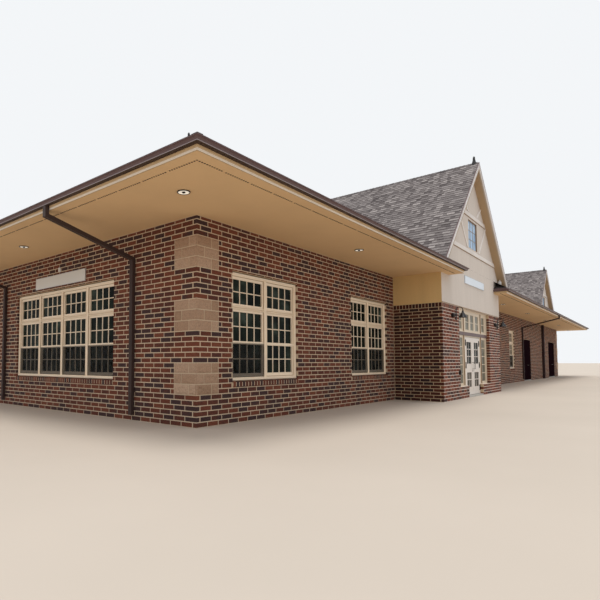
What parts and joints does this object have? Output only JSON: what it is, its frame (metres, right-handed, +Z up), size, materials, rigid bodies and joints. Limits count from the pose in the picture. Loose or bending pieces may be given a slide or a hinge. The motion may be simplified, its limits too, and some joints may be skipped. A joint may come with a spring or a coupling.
{
  "type": "railway station building, 1:2 scale model",
  "caption": "Long brick railway station building with deep flat-soffit eaves, a hip roof, cross gables, an entrance pavilion and opening doors.",
  "frame": {"origin": "at ground level under the middle of the building", "axes": "+X along the platform front from the near end to the far end, +Y from the platform into the building, +Z up"},
  "size_m": [24.3764, 7.079, 4.44],
  "materials": {
    "brick": "rough fired brick in light mortar",
    "cast_stone": "split-face block",
    "stucco": "fine float finish",
    "shingle": "mineral granules",
    "soffit_board": "matt paint",
    "trim": "painted boards",
    "window_frame": "satin paint",
    "entrance_paint": "satin paint",
    "glass": "clear",
    "screen_mesh": "fine mesh",
    "gutter_metal": "satin paint",
    "dark_metal": "satin paint",
    "door_paint": "satin paint",
    "steel": "brushed",
    "light": "opal",
    "concrete": "trowelled"
  },
  "bodies": {
    "building": {"floor_slab": "concrete", "west_wall": "brick", "east_wall": "brick", "front_wall_west": "brick", "front_wall_east": "brick", "front_wall_between_doors": "brick", "front_wall_far_end": "brick", "service_door_heads": "brick", "rear_wall_west": "brick", "rear_wall_east": "brick", "pavilion_side_walls": "brick", "pavilion_piers": "brick", "brick_sills": "brick", "pavilion_stucco_sides": "stucco", "gable_walls": "stucco", "corner_quoins": "cast_stone", "roof_front_slope": "shingle", "roof_rear_slope": "shingle", "roof_hip_west": "shingle", "roof_hip_east": "shingle", "roof_return_ends": "shingle", "gable_roof_west_slopes": "shingle", "gable_roof_east_slopes": "shingle", "rake_soffits": "soffit_board", "eave_soffits_long": "soffit_board", "eave_soffits_ends": "soffit_board", "fascia_boards": "trim", "barge_boards": "trim", "gable_timbers": "trim", "gutters": "gutter_metal", "rain_pipes": "gutter_metal", "window_frames": "window_frame", "gable_window_frames": "window_frame", "window_glass": "glass", "gable_window_glass": "glass", "insect_screens": "screen_mesh", "entry_frame": "entrance_paint", "entry_glass": "glass", "entry_bar": "gutter_metal", "rear_entry_doors": "entrance_paint", "rear_entry_door_glass": "glass", "service_door_frames": "door_paint", "gable_finials": "dark_metal", "hip_finials": "dark_metal", "pipe_casing": "door_paint", "barn_lamps": "dark_metal", "wall_fittings": "dark_metal", "soffit_lights": "light"},
    "entrance_leaf_left": {"entry_leaf_left": "entrance_paint", "entry_leaf_left_glass": "glass", "entry_pull_left": "steel"},
    "entrance_leaf_right": {"entry_leaf_right": "entrance_paint", "entry_leaf_right_glass": "glass", "entry_pull_right": "steel"},
    "service_leaf_1_left": {"service_leaf_1_left": "door_paint"},
    "service_leaf_1_right": {"service_leaf_1_right": "door_paint"},
    "service_leaf_2_left": {"service_leaf_2_left": "door_paint"},
    "service_leaf_2_right": {"service_leaf_2_right": "door_paint"}
  },
  "joints": [
    {"name": "entrance_left_hinge", "type": "hinge", "parent": "building", "child": "entrance_leaf_left", "pos_m": [-5.1577, -3.1875, 0.56], "axis": [0, 0, -1], "range_deg": [0, 90]},
    {"name": "entrance_right_hinge", "type": "hinge", "parent": "building", "child": "entrance_leaf_right", "pos_m": [-4.2427, -3.1875, 0.56], "axis": [0, 0, 1], "range_deg": [0, 90]},
    {"name": "service_1_left_hinge", "type": "hinge", "parent": "building", "child": "service_leaf_1_left", "pos_m": [3.9468, -2.4725, 0.7], "axis": [0, 0, -1], "range_deg": [0, 90]},
    {"name": "service_1_right_hinge", "type": "hinge", "parent": "building", "child": "service_leaf_1_right", "pos_m": [5.0368, -2.4725, 0.7], "axis": [0, 0, 1], "range_deg": [0, 90]},
    {"name": "service_2_left_hinge", "type": "hinge", "parent": "building", "child": "service_leaf_2_left", "pos_m": [8.8058, -2.4725, 0.7], "axis": [0, 0, -1], "range_deg": [0, 90]},
    {"name": "service_2_right_hinge", "type": "hinge", "parent": "building", "child": "service_leaf_2_right", "pos_m": [10.1858, -2.4725, 0.7], "axis": [0, 0, 1], "range_deg": [0, 90]}
  ]
}
